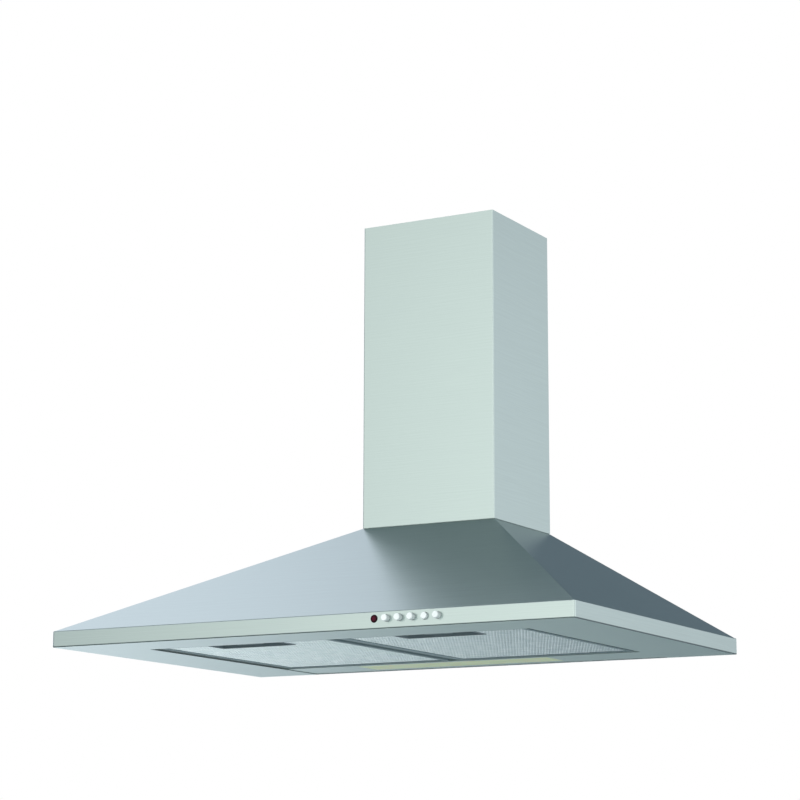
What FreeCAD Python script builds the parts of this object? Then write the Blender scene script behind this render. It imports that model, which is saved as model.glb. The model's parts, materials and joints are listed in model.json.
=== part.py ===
import FreeCAD
import Part
import math
import os
from FreeCAD import Vector

# Wall mount range hood, millimetres.
# +X is the viewer's right, +Y points into the wall, +Z is up.
# The origin is on the wall plane, at the middle of the hood, level with the underside of its rim.

# Sheets, walls and clearances
SHEET = 1.0             # brushed stainless sheet
PLATE = 1.2             # galvanised sheet inside
MOULDED = 2.0           # wall of moulded plastic pieces
GAP = 0.3               # clearance between pieces set side by side
RUNNING = 0.05          # radial clearance of shafts and pins
OVER = 2.0              # overrun of every cut

# Canopy
WIDTH = 700.0
DEPTH = 470.0
RIM = 20.0              # height of the upright rim
PYRAMID = 148.0         # height of the sloping part
LEDGE = 1.5             # step from the rim to the foot of the slope
RIM_BEND = 1.1          # outer bend radius along the rim
RIM_CORNER = 2.5        # corner radius of the rim seen from above
HIP_BEND = 2.0          # bend radius of the two sloping corners
NECK = 14.0             # upstand that locates the chimney
WELD = 8.0              # flange where the sloping part and the rim are welded
FRONT_FLANGE = 75.0     # width of the underside flange at the front
LIP = 6.0               # height of the upturned lip round the filter bay

# Chimney
CHIMNEY_W = 190.0
CHIMNEY_D = 160.0
CHIMNEY_H = 400.0
CHIMNEY_BEND = 1.5
RETURN = 12.0           # return flange at the back of each cover
SHADOW_GAP = 0.6        # line between canopy and chimney
SLIDE_GAP = 0.5         # room between the two covers
TOP_INSET = 2.0         # upper cover stays this far below the lower one's top when pushed in
VENT_COUNT = 5
VENT_W = 60.0
VENT_H = 6.0
VENT_PITCH = 14.0
VENT_FROM_TOP = 45.0

# Chimney wall bracket
BRACKET_H = 22.0
BRACKET_FROM_TOP = 6.0
BRACKET_PLATE = 1.5
BRACKET_INSET = 10.5    # from the cover's return flanges to the part that lies on the wall
BRACKET_WING = 22.0
BRACKET_HOLE_R = 3.0
BRACKET_SPACING = 90.0

# Back panel
RISER_GAP = 6.0         # from the chimney's return flanges to the panel's riser between them
RISER_ABOVE_DECK = 18.0
PANEL_FLANGE = 14.0     # forward flange along the slopes
KEYHOLE_SPACING = 240.0
KEYHOLE_Z = 112.0
KEYHOLE_R = 6.0
KEYSLOT_R = 3.0
KEYSLOT_RISE = 13.0
LOCK_SPACING = 400.0
LOCK_Z = 72.0
LOCK_R = 3.0

# Rear light panel
REAR_DEPTH = 77.0       # from the wall to its front lip
REAR_LIP = 9.0          # top of its front lip
REAR_UPSTAND = 12.0

# Screws
SCREW_R = 1.5
SCREW_HEAD_R = 3.0
SCREW_HEAD = 1.8
HOLE_PLAY = 0.1         # radial play of a screw in its hole

# Grease filters
FILTER_W = 240.0
FILTER_T = 9.0
FILTER_RECESS = 1.1     # face of the filter above the underside
CENTER_GAP = 18.0       # between the two filters
SIDE_GAP = 9.0          # between filter and side lip
FRONT_GAP = 5.0         # between filter and front lip
REAR_GAP = 8.0          # between filter and rear light panel
FRAME_WALL = 1.0
FRAME_FLANGE = 0.8
FRAME_BORDER = 6.0
MESH_T = 1.2
MESH_LONG = 36.0        # diamond opening and strand, along the filter's depth
MESH_SHORT = 22.0
MESH_OPEN_SHARE = 0.72
TAB_W = 16.0
TAB_T = 1.5
TAB_SPACING = 140.0
TAB_RISE = 2.35         # underside of a tab above the filter's face
TAB_REACH = 4.0         # tab past the hinge line
SLOT_PLAY = 0.5
SLOT_RISE = 1.15        # room above and below a tab while it tilts

# Filter grip and latch
GRIP_W = 104.0
GRIP_D = 40.0
GRIP_WALL = 1.5
GRIP_ROOF = 1.0
GRIP_H = 7.9
LATCH_W = 48.0
LATCH_D = 14.0
LATCH_T = 2.1
LATCH_REST = 0.4        # tongue stands this far from the lip when drawn back
LATCH_THROW = 4.5       # travel from there to its place over the lip
TONGUE_W = 24.0
TONGUE_T = 1.4
TONGUE_PLAY = 0.4
FINGER_W = 36.0
FINGER_D = 2.2
FINGER_H = 3.2
RAIL_W = 1.7
RAIL_LEDGE = 2.0
RAIL_T = 0.9
RAIL_L = 22.0

# Rail between the filters
CENTER_RAIL_W = 12.0
CENTER_RAIL_H = 8.0
CENTER_RAIL_Z = 3.0
CENTER_RAIL_TAB = 3.0

# Blower housing: a spiral scroll round the fan's axis, with its outlet upwards
FAN_Y = -95.0
FAN_Z = 140.0
FAN_R = 50.0
FAN_W = 80.0
BLADE_DEPTH = 9.0
BLADE_T = 0.9
BLADE_COUNT = 24
BLADE_BOW = 1.7
BLADE_LEAD = 2.4
FAN_RING = 2.0
FAN_RING_DEPTH = 7.0
FAN_DISC = 2.5
HUB_R = 9.0
HUB_BACK = 8.0
HUB_FRONT = 12.0
TONGUE_GAP = 4.0        # from the fan to the cut-off of the scroll
SCROLL_GROWTH = 26.0    # growth of the scroll's radius to its outlet
CUTOFF_DEG = 35.0
OUTLET_DEG = 270.0
SCROLL_SPANS = 8
SCROLL_SIDE = 6.0       # room from the fan's end to the housing's side
INLET_R = 38.0
INLET_LIP = 4.0
OUTLET_FLANGE = 10.0
OUTLET_FLANGE_T = 3.0
SEAM_BOSS_R = 4.5
SEAM_BOSS_L = 5.0
SEAM_DEGS = (75.0, 140.0, 205.0, 262.0)

# Blower deck
DECK_Z = 212.0          # underside of the deck
DECK_OVERLAP = 2.0      # skirt starts this far above the neck's foot
DECK_REAR_SKIRT = 26.0
DECK_SCREW_SPACING = 120.0
GROMMET_INSET = 14.2    # from the deck's skirt to the cable's middle
GROMMET_Y = -40.0
GROMMET_R = 8.0
GROMMET_BORE_R = 3.5
GROMMET_LIP = 2.0
GROMMET_WAIST = 2.0     # depth of the groove that holds the deck

# Outlet collar and damper
DUCT_R = 60.0
COLLAR_Y = -78.0
COLLAR_WALL = 2.0
COLLAR_H = 44.0
COLLAR_BASE_T = 2.5
COLLAR_FLANGE = 3.0     # base past the spigot
STOP_W = 3.0
STOP_T = 1.5
PIN_R = 1.5
PIN_RISE = 14.0         # damper pin above the deck
FLAP_T = 1.2
FLAP_DROP = 2.4         # underside of a flap below the pin's axis
FLAP_CLEAR = 1.8
KNUCKLE_R = 3.0
KNUCKLE_L = 20.0
KNUCKLE_STEP = 56.0
KNUCKLE_FIRST = 50.0

# Motor
MOTOR_R = 27.0
MOTOR_CAP_R = 23.0
MOTOR_CAP = 8.0
MOTOR_FACE_X = -14.0
MOTOR_L = 60.0
SHAFT_R = 4.0
SHAFT_TAIL = 4.0
SHAFT_SHOULDER_R = 6.0
SHAFT_SHOULDER = 2.5
BEARING_R = 8.0
BEARING_W = 6.0
NUT_FLATS = 13.0
NUT_T = 5.0
NUT_END = 1.0
MOUNT_RING = 4.0
MOUNT_RING_T = 4.0
MOUNT_ARM_W = 9.0
MOUNT_REACH = 52.0
MOUNT_FOOT_R = 5.0
MOUNT_DEGS = (100.0, 220.0, 340.0)
MOUNT_X = -62.0
RUBBER_R = 6.0
RUBBER_T = 3.0

# Electrical pieces
CAP_R = 14.0
CAP_L = 58.0
CAP_X = 104.0
CAP_Z = 74.0
CLIP_T = 1.0
CLIP_W = 14.0
CLIP_FOOT = 24.0
TERM_W = 60.0
TERM_H = 40.0
TERM_D = 34.0
TERM_GAP = 1.0          # from the light box's foot to the terminal box
TERM_Z = 40.0
COVER_T = 2.0
BLOCK_W = 42.0
BLOCK_H = 16.0
BLOCK_D = 14.0
BLOCK_POLES = 3
POLE_R = 2.6
POLE_DEPTH = 9.0

# Controls in the front rim
CONTROL_Z = 11.7
PILOT_X = 100.8
PILOT_R = 4.3
PILOT_DOME = 1.4
BUTTON_X = 117.0
BUTTON_PITCH = 16.3
BUTTON_R = 4.0
BUTTON_PLAY = 0.4
BUTTON_OUT = 7.0
BUTTON_EDGE = 1.1
BUTTON_PRESSED = 3.2
BUTTON_COLLAR_R = 5.4
BUTTON_COLLAR = 1.2
STEM_W = 4.0
STEM_L = 13.0
STEM_PLAY = 0.3
STEM_RUN = 6.0          # room behind a stem in its guide
BUTTON_NAMES = ("light", "off", "low", "medium", "high")
LATCHED_NAME = "medium"
SWITCH_SETBACK = 6.5    # from the rim's sheet to the switch housing
SWITCH_D = 24.0
SWITCH_H = 17.0
SWITCH_END = 9.0
EAR_W = 10.0
EAR_D = 12.0
EAR_T = 2.5
STUD_L = 6.0
HEX_FLATS = 5.5
HEX_T = 2.4

# Lamps
LENS_X = -17.0
LENS_Y = -42.2
LENS_L = 276.0
LENS_W = 50.0
LENS_RIM = 2.0
LENS_RIM_T = 1.6
LIGHT_BOX_END = 8.0     # from the lens to the ends of the light box
LIGHT_BOX_SIDE = 3.2
LIGHT_BOX_H = 44.0
LIGHT_BOX_FOOT = 11.0
SOCKET_R = 13.0
SOCKET_L = 24.0
SOCKET_FLANGE_R = 16.0
SOCKET_FLANGE = 2.0
LAMP_BASE_R = 7.0
LAMP_BASE_L = 16.0
LAMP_R = 16.0           # where the glass swells to a ball
LAMP_BALL = 26.0        # from the socket's mouth to the middle of the ball
LAMP_TIP_R = 3.5
LAMP_L = 82.0

# Worked out from the sizes above
SHOULDER = RIM + PYRAMID
TOP_Z = SHOULDER + CHIMNEY_H
FOOT_X = WIDTH / 2 - LEDGE
FOOT_Y = DEPTH - LEDGE
TOP_X = CHIMNEY_W / 2
TOP_Y = CHIMNEY_D
SIDE_SHIFT = SHEET * math.hypot(FOOT_X - TOP_X, PYRAMID) / PYRAMID
FRONT_SHIFT = SHEET * math.hypot(FOOT_Y - TOP_Y, PYRAMID) / PYRAMID
NECK_X = TOP_X - SHEET - GAP
NECK_Y = TOP_Y - SHEET - GAP
BAY_FRONT = -(DEPTH - FRONT_FLANGE)
OPENING_W = 2 * (FILTER_W + SIDE_GAP) + CENTER_GAP     # width of the filter bay
PANEL_FRONT = -SHEET                       # front face of the back panel
REAR_PANEL_Z = SHEET                       # the rear light panel laps over the side flanges
REAR_PANEL_BACK = PANEL_FRONT - GAP
FILTER_BACK = -(REAR_DEPTH + REAR_GAP)
FILTER_FRONT = BAY_FRONT + FRONT_GAP
HINGE_Y = -REAR_DEPTH + SHEET / 2
HINGE_Z = FILTER_RECESS + TAB_RISE + TAB_T / 2
DECK_TOP = DECK_Z + PLATE
DECK_X = NECK_X - SHEET - GAP
DECK_FRONT = -(NECK_Y - SHEET - GAP)
GROMMET_X = PLATE + GROMMET_INSET - DECK_X
DECK_BACK = REAR_PANEL_BACK
SCROLL_R = FAN_R + TONGUE_GAP
SCROLL_IN = FAN_W / 2 + SCROLL_SIDE        # inner half width of the blower housing
SCROLL_OUT = SCROLL_IN + MOULDED
OUTLET_BACK = FAN_Y + SCROLL_R + SCROLL_GROWTH
OUTLET_FRONT = FAN_Y - SCROLL_R * math.sin(math.radians(CUTOFF_DEG))
BOLT_X = SCROLL_OUT + OUTLET_FLANGE / 2
BOLT_YS = (OUTLET_FRONT - MOULDED - OUTLET_FLANGE / 2, OUTLET_BACK + MOULDED + OUTLET_FLANGE / 2)
PIN_Z = DECK_TOP + PIN_RISE
COLLAR_BASE_HALF = DUCT_R + COLLAR_FLANGE
COLLAR_BORE = DUCT_R - COLLAR_WALL
FLAP_R = COLLAR_BORE - FLAP_CLEAR
UPPER_BOTTOM = DECK_TOP + COLLAR_BASE_T + GAP
UPPER_TOP = TOP_Z - TOP_INSET
UPPER_X = TOP_X - SHEET - SLIDE_GAP
UPPER_Y = TOP_Y - SHEET - SLIDE_GAP
UPPER_BACK = -SHEET - SLIDE_GAP
RISER_HALF = TOP_X - SHEET - RETURN - RISER_GAP
BRACKET_WALL_HALF = UPPER_X - SHEET - RETURN - BRACKET_INSET
RIM_INSIDE = -(DEPTH - SHEET)
SWITCH_FRONT = RIM_INSIDE + SWITCH_SETBACK
BUTTON_XS = [BUTTON_X + BUTTON_PITCH * i for i in range(len(BUTTON_NAMES))]
LENS_TOP = REAR_PANEL_Z + SHEET
LAMP_Z = LENS_TOP + LIGHT_BOX_H / 2
LIGHT_BOX_X = LENS_L / 2 + LIGHT_BOX_END
LIGHT_BOX_Y = LENS_W / 2 + LIGHT_BOX_SIDE
TERM_X = LENS_X - LIGHT_BOX_X - LIGHT_BOX_FOOT - TERM_GAP - TERM_W / 2
MOTOR_TAIL_X = MOTOR_FACE_X - MOTOR_L

ALONG_X = Vector(1, 0, 0)
ALONG_Y = Vector(0, 1, 0)
ALONG_Z = Vector(0, 0, 1)


def box(xs, ys, zs):
    low = Vector(min(xs), min(ys), min(zs))
    return Part.makeBox(max(xs) - low.x, max(ys) - low.y, max(zs) - low.z, low)


def rod(radius, start, end):
    return Part.makeCylinder(radius, (end - start).Length, start, end - start)


def tube(outer, inner, start, end):
    overrun = (end - start).normalize() * OVER
    return rod(outer, start, end).cut(rod(inner, start - overrun, end + overrun))


def prism(points, travel):
    return Part.Face(Part.makePolygon(points + points[:1])).extrude(travel)


def hexagon(flats, start, travel):
    radius = flats / math.sqrt(3)
    across = ALONG_X if abs(travel.x) < abs(travel.z) else ALONG_Y
    up = travel.cross(across).normalize()
    corners = []
    for i in range(6):
        turn = math.radians(60 * i)
        corners.append(start + across * (radius * math.cos(turn)) + up * (radius * math.sin(turn)))
    return prism(corners, travel)


def turned(edges, base, axis):
    """A profile in the XZ plane, turned about Z and laid along an axis."""
    solid = Part.Face(Part.Wire(Part.sortEdges(edges)[0])).revolve(Vector(), ALONG_Z, 360)
    solid.Placement = FreeCAD.Placement(base, FreeCAD.Rotation(ALONG_Z, axis))
    return solid


def arcs_through(points):
    """Arcs end to end, each through three of the points."""
    return [Part.Arc(*points[i:i + 3]).toShape() for i in range(0, len(points) - 2, 2)]


def around(middle, reach):
    return middle - reach, middle + reach


def grown(span, amount):
    return span[0] - amount, span[1] + amount


def join(shapes):
    return shapes[0].fuse(shapes[1:]).removeSplitter()


def edges_where(shape, test):
    return [edge for edge in shape.Edges if test(edge.CenterOfMass)]


def screw(seat, direction, length):
    """A pan head screw: its head stands on the seat, its shank runs along the direction."""
    shank = rod(SCREW_R, seat, seat + direction * length)
    head = rod(SCREW_HEAD_R, seat - direction * SCREW_HEAD, seat)
    top_edge = edges_where(head, lambda c: (c - seat).dot(direction) < -SCREW_HEAD / 2)
    return shank.fuse(head.makeChamfer(SCREW_HEAD / 2, top_edge))


def screw_hole(seat, direction, length):
    return rod(SCREW_R + HOLE_PLAY, seat - direction * OVER, seat + direction * (length + OVER))


def export(name, *solids):
    shape = solids[0] if len(solids) == 1 else Part.makeCompound(list(solids))
    shape.exportStep("parts/" + name + ".step")


def slope_x(z):
    return TOP_X + (FOOT_X - TOP_X) * (SHOULDER - z) / PYRAMID


def slope_y(z):
    return TOP_Y + (FOOT_Y - TOP_Y) * (SHOULDER - z) / PYRAMID


def frustum(low, high, back):
    """A hopper between two level rectangles, each given as half width, front and height."""
    rings = []
    for half, front, z in (low, high):
        plan = ((-half, -front), (half, -front), (half, back), (-half, back))
        rings.append([Vector(x, y, z) for x, y in plan])
    sides = [[rings[0][i - 1], rings[0][i], rings[1][i], rings[1][i - 1]] for i in range(len(rings[0]))]
    rings[0].reverse()
    faces = [Part.Face(Part.makePolygon(ring + ring[:1])) for ring in rings + sides]
    return Part.makeSolid(Part.makeShell(faces))


def lamp_panel_screw_seats():
    """Screws through the side lips of the filter bay into the rear light panel."""
    seats = []
    for side in (-1, 1):
        for y in (-REAR_DEPTH / 4, -REAR_DEPTH * 3 / 4):
            seats.append((Vector(side * (OPENING_W / 2 + SHEET), y, LIP - LIP / 3), Vector(-side, 0, 0)))
    return seats


def deck_screw_seats():
    """Screws from inside the deck's skirt, to the front of the neck and to the back panel."""
    neck_z = SHOULDER + NECK / 2
    riser_z = DECK_Z - DECK_REAR_SKIRT / 2
    seats = []
    for x in (-DECK_SCREW_SPACING / 2, DECK_SCREW_SPACING / 2):
        seats.append((Vector(x, DECK_FRONT + PLATE, neck_z), -ALONG_Y))
        seats.append((Vector(x, DECK_BACK - PLATE, riser_z), ALONG_Y))
    return seats


PANEL_SCREW_L = SHEET * 2 + GAP
DECK_SCREW_L = PLATE + GAP + SHEET


def rim_hole(x, radius):
    return rod(radius, Vector(x, -DEPTH - OVER, CONTROL_Z), Vector(x, RIM_INSIDE + OVER, CONTROL_Z))


def canopy_rim():
    """The upright rim with its underside flanges and the lips round the filter bay."""
    rim = box(around(0, WIDTH / 2), (-DEPTH, 0), (0, RIM))
    corners = edges_where(rim, lambda c: c.y < -DEPTH / 2 and abs(c.z - RIM / 2) < GAP)
    rim = rim.makeFillet(RIM_CORNER, corners)
    bends = edges_where(rim, lambda c: c.y < -GAP and abs(c.z - RIM / 2) > RIM / 4)
    rim = rim.makeFillet(RIM_BEND, bends)
    top = (RIM - SHEET * 2, RIM + OVER)
    rim = rim.cut([
        box(around(0, WIDTH / 2 - SHEET), (RIM_INSIDE, OVER), (SHEET, RIM - SHEET)),
        box(around(0, FOOT_X - SIDE_SHIFT - WELD), (FRONT_SHIFT + WELD - FOOT_Y, OVER), top),
        box(around(0, FOOT_X - SIDE_SHIFT), (REAR_PANEL_BACK, OVER), top),
        box(around(0, OPENING_W / 2), (BAY_FRONT, OVER), (-OVER, SHEET + OVER)),
    ])
    lips = [box(around(0, OPENING_W / 2 + SHEET), (BAY_FRONT - SHEET, BAY_FRONT), (0, LIP))]
    for side in (-1, 1):
        inner = side * OPENING_W / 2
        lips.append(box((inner, inner + side * SHEET), (BAY_FRONT - SHEET, REAR_PANEL_BACK), (0, LIP)))
    holes = [rim_hole(PILOT_X, PILOT_R + GAP)]
    holes += [rim_hole(x, BUTTON_R + BUTTON_PLAY) for x in BUTTON_XS]
    holes += [screw_hole(seat, way, PANEL_SCREW_L) for seat, way in lamp_panel_screw_seats()]
    return rim.fuse(lips).cut(holes).removeSplitter()


def canopy_shell():
    """The sloping hood with its neck; its foot has an inward flange, welded to the rim's."""
    slope = frustum((FOOT_X, FOOT_Y, RIM), (TOP_X, TOP_Y, SHOULDER), 0)
    hips = edges_where(slope, lambda c: c.y < -GAP and RIM < c.z - GAP < SHOULDER - OVER)
    slope = slope.makeFillet(HIP_BEND, hips)
    neck = box(around(0, NECK_X), (-NECK_Y, REAR_PANEL_BACK), (SHOULDER - SHEET, SHOULDER + NECK))
    foot, ceiling = RIM + SHEET, SHOULDER - SHEET
    top = (slope_x(ceiling) - SIDE_SHIFT, slope_y(ceiling) - FRONT_SHIFT, ceiling)
    shell = slope.fuse(neck).cut([
        frustum((slope_x(foot) - SIDE_SHIFT, slope_y(foot) - FRONT_SHIFT, foot), top, OVER),
        frustum((FOOT_X - SIDE_SHIFT, -REAR_PANEL_BACK, RIM), (top[0], -REAR_PANEL_BACK, ceiling), OVER),
        box(around(0, FOOT_X - SIDE_SHIFT - WELD), (FRONT_SHIFT + WELD - FOOT_Y, OVER), (RIM - OVER, foot)),
        box(around(0, NECK_X - SHEET), (SHEET - NECK_Y, OVER), (ceiling - OVER, SHOULDER + NECK + OVER)),
    ])
    holes = [screw_hole(seat, way, DECK_SCREW_L) for seat, way in deck_screw_seats() if way.y < 0]
    return shell.cut(holes).removeSplitter()


def back_panel():
    """A plate inside the canopy's rear edge, with flanges along its slopes and a riser in the chimney."""
    step = OPENING_W / 2 - GAP
    foot = SHEET + GAP
    side = SIDE_SHIFT + GAP * SIDE_SHIFT / SHEET
    top = SHOULDER - SHEET - GAP
    half = [(step, 0), (step, foot), (FOOT_X - side, foot), (FOOT_X - side, RIM), (slope_x(top) - side, top),
            (RISER_HALF, top), (RISER_HALF, DECK_TOP + RISER_ABOVE_DECK)]
    outline = [Vector(x, 0, z) for x, z in half] + [Vector(-x, 0, z) for x, z in reversed(half)]
    panel = prism(outline, Vector(0, PANEL_FRONT, 0))
    flanges = []
    low, high = RIM + PANEL_FLANGE, SHOULDER - PANEL_FLANGE
    for sign in (-1, 1):
        corners = [Vector(sign * (slope_x(z) - side - inset), 0, z)
                   for z, inset in ((low, 0), (high, 0), (high, SIDE_SHIFT), (low, SIDE_SHIFT))]
        flanges.append(prism(corners, Vector(0, -PANEL_FLANGE, 0)))
    panel = panel.fuse(flanges)
    holes = []
    start, end = Vector(0, OVER, 0), Vector(0, PANEL_FRONT - OVER, 0)
    for sign in (-1, 1):
        key = Vector(sign * KEYHOLE_SPACING / 2, 0, KEYHOLE_Z)
        rise = ALONG_Z * KEYSLOT_RISE
        holes.append(rod(KEYHOLE_R, key + start, key + end))
        holes.append(rod(KEYSLOT_R, key + rise + start, key + rise + end))
        holes.append(box(around(key.x, KEYSLOT_R), (start.y, end.y), (key.z, key.z + KEYSLOT_RISE)))
        lock = Vector(sign * LOCK_SPACING / 2, 0, LOCK_Z)
        holes.append(rod(LOCK_R, lock + start, lock + end))
    holes += [screw_hole(seat, way, DECK_SCREW_L) for seat, way in deck_screw_seats() if way.y > 0]
    return panel.cut(holes).removeSplitter()


def filter_center(side):
    return side * (CENTER_GAP + FILTER_W) / 2


def tab_centers(side):
    return [filter_center(side) + offset for offset in (-TAB_SPACING / 2, TAB_SPACING / 2)]


def rear_light_panel():
    half = OPENING_W / 2 - GAP
    low, high = REAR_PANEL_Z, LENS_TOP
    panel = join([
        box((-half, half), (-REAR_DEPTH, REAR_PANEL_BACK), (low, high)),
        box((-half, half), (-REAR_DEPTH, -REAR_DEPTH + SHEET), (low, REAR_LIP)),
        box((-half, half), (REAR_PANEL_BACK - SHEET, REAR_PANEL_BACK), (low, REAR_UPSTAND)),
        box((-half, SHEET - half), (-REAR_DEPTH, REAR_PANEL_BACK), (low, LIP)),
        box((half - SHEET, half), (-REAR_DEPTH, REAR_PANEL_BACK), (low, LIP)),
    ])
    window_xs, window_ys = around(LENS_X, LENS_L / 2 + GAP), around(LENS_Y, LENS_W / 2 + GAP)
    cuts = [box(window_xs, window_ys, (low - OVER, high + OVER))]
    slot_ys = (-REAR_DEPTH - OVER, -REAR_DEPTH + SHEET + OVER)
    slot_zs = around(HINGE_Z, TAB_T / 2 + SLOT_RISE)
    for side in (-1, 1):
        for x in tab_centers(side):
            cuts.append(box(around(x, TAB_W / 2 + SLOT_PLAY), slot_ys, slot_zs))
    cuts += [screw_hole(seat, way, PANEL_SCREW_L) for seat, way in lamp_panel_screw_seats()]
    cuts += [screw_hole(seat, -ALONG_Z, PLATE + SHEET) for seat in light_box_seats()]
    return panel.cut(cuts)


def filter_center_rail():
    """A channel between the filters, whose ends hook over the lips in front and behind."""
    half = CENTER_RAIL_W / 2
    front, back = BAY_FRONT + GAP, -REAR_DEPTH - GAP
    top = CENTER_RAIL_Z + CENTER_RAIL_H
    channel = box(around(0, half), (front, back), (CENTER_RAIL_Z, top))
    hollow = box(around(0, half - SHEET), grown((front, back), OVER), (CENTER_RAIL_Z + SHEET, top + OVER))
    front_ys = (BAY_FRONT - SHEET - CENTER_RAIL_TAB, front + CENTER_RAIL_TAB)
    rear_ys = (back - CENTER_RAIL_TAB, -REAR_DEPTH + SHEET + CENTER_RAIL_TAB)
    front_tab = box(around(0, half), front_ys, (LIP, LIP + SHEET))
    rear_tab = box(around(0, half), rear_ys, (REAR_LIP, REAR_LIP + SHEET))
    return join([channel.cut(hollow), front_tab, rear_tab])


def grip_span(side):
    center = filter_center(side)
    front = FILTER_FRONT + FRAME_WALL + GAP
    return (center - GRIP_W / 2, center + GRIP_W / 2), (front, front + GRIP_D)


def tongue_opening(side):
    center = filter_center(side)
    reach = TONGUE_W / 2 + TONGUE_PLAY
    return (center - reach, center + reach), (LIP, latch_top() + GAP)


def latch_top():
    return LIP + GAP + TONGUE_T


def filter_frame(side):
    center = filter_center(side)
    xs = (center - FILTER_W / 2, center + FILTER_W / 2)
    ys = (FILTER_FRONT, FILTER_BACK)
    zs = (FILTER_RECESS, FILTER_RECESS + FILTER_T)
    frame = box(xs, ys, zs)
    grip_xs, grip_ys = grip_span(side)
    slot_xs, slot_zs = tongue_opening(side)
    groove = (zs[0] + FRAME_FLANGE, zs[1] - FRAME_FLANGE)
    frame = frame.cut([
        box(grown(xs, -FRAME_BORDER), grown(ys, -FRAME_BORDER), grown(zs, OVER)),
        box(grown(xs, -FRAME_WALL), grown(ys, -FRAME_WALL), groove),
        box(grown(grip_xs, GAP), (ys[0] + FRAME_WALL, grip_ys[1]), (zs[0] - OVER, groove[1])),
        box(slot_xs, (ys[0] - OVER, ys[0] + FRAME_WALL + OVER), slot_zs),
    ])
    tab_ys = (ys[1] - FRAME_WALL, HINGE_Y + TAB_REACH)
    tab_zs = (zs[0] + TAB_RISE, zs[0] + TAB_RISE + TAB_T)
    tabs = [box(around(x, TAB_W / 2), tab_ys, tab_zs) for x in tab_centers(side)]
    return join([frame] + tabs)


def filter_layer(side, z_low, z_high):
    """A sheet that lies in the frame's channel, cut out round the grip."""
    center = filter_center(side)
    inset = -FRAME_WALL - GAP
    xs = grown((center - FILTER_W / 2, center + FILTER_W / 2), inset)
    ys = grown((FILTER_FRONT, FILTER_BACK), inset)
    grip_xs, grip_ys = grip_span(side)
    notch = box(grown(grip_xs, GAP), (ys[0] - OVER, grip_ys[1] + GAP), (z_low - OVER, z_high + OVER))
    return box(xs, ys, (z_low, z_high)).cut(notch)


def filter_mesh(side):
    """Expanded sheet: staggered diamond openings inside the frame's border."""
    low = FILTER_RECESS + FRAME_FLANGE
    sheet = filter_layer(side, low, low + MESH_T)
    center = filter_center(side)
    clear_x = FILTER_W / 2 - FRAME_BORDER
    front, back = FILTER_FRONT + FRAME_BORDER, FILTER_BACK - FRAME_BORDER
    grip_xs, grip_ys = grip_span(side)
    columns = int(2 * clear_x / MESH_SHORT)
    rows = int((back - front) / MESH_LONG * 2) - 1
    long_half = MESH_LONG * MESH_OPEN_SHARE / 2
    short_half = MESH_SHORT * MESH_OPEN_SHARE / 2
    openings = []
    for row in range(rows):
        y = (front + back) / 2 + (row - (rows - 1) / 2) * MESH_LONG / 2
        shift = MESH_SHORT / 2 * (row % 2)
        for column in range(columns - row % 2):
            x = center + (column - (columns - 1) / 2) * MESH_SHORT + shift
            in_grip = grip_xs[0] - MESH_SHORT / 2 < x < grip_xs[1] + MESH_SHORT / 2
            if in_grip and y < grip_ys[1] + MESH_LONG / 2:
                continue
            corners = [Vector(x - short_half, y, low), Vector(x, y - long_half, low),
                       Vector(x + short_half, y, low), Vector(x, y + long_half, low)]
            openings.append(prism(corners, ALONG_Z * MESH_T))
    return sheet.cut(openings)


def filter_pad(side):
    low = FILTER_RECESS + FRAME_FLANGE + MESH_T
    return filter_layer(side, low, FILTER_RECESS + FILTER_T - FRAME_FLANGE - GAP)


def filter_grip(side):
    """A dish that opens downwards, with two guide rails for the latch under its roof."""
    center = filter_center(side)
    xs, ys = grip_span(side)
    low, high = FILTER_RECESS, FILTER_RECESS + GRIP_H
    roof = high - GRIP_ROOF
    slot_xs, slot_zs = tongue_opening(side)
    dish = box(xs, ys, (low, high))
    dish = dish.makeFillet(GRIP_WALL, edges_where(dish, lambda c: abs(c.z - (low + high) / 2) < GAP))
    dish = dish.cut([
        box(grown(xs, -GRIP_WALL), grown(ys, -GRIP_WALL), (low - OVER, roof)),
        box(slot_xs, (ys[0] - OVER, ys[0] + GRIP_WALL + OVER), slot_zs),
    ])
    ledge_top = latch_top() - LATCH_T - GAP
    rail_ys = (ys[0] + GRIP_WALL / 2, ys[0] + GRIP_WALL + RAIL_L)
    ledge = (ledge_top - RAIL_T, ledge_top)
    rails = []
    for sign in (-1, 1):
        post = center + sign * (LATCH_W / 2 + GAP)
        outside = post + sign * RAIL_W
        rails.append(box((post, outside), rail_ys, (ledge[0], roof)))
        rails.append(box((outside, post - sign * (GAP + RAIL_LEDGE)), rail_ys, ledge))
    return join([dish] + rails)


def filter_latch(side):
    """A sliding plate with a tongue to the front and a finger bar; drawn back, just clear of the lip."""
    center = filter_center(side)
    top = latch_top()
    start = grip_span(side)[1][0] + GRIP_WALL + GAP + LATCH_THROW
    end = start + LATCH_D
    plate = box(around(center, LATCH_W / 2), (start, end), (top - LATCH_T, top))
    tongue_ys = (BAY_FRONT + LATCH_REST, start + LATCH_D / 2)
    tongue = box(around(center, TONGUE_W / 2), tongue_ys, (top - TONGUE_T, top))
    bar_zs = (top - LATCH_T - FINGER_H, top - LATCH_T / 2)
    bar = box(around(center, FINGER_W / 2), (end - FINGER_D, end), bar_zs)
    return join([plate, tongue, bar])


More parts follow.
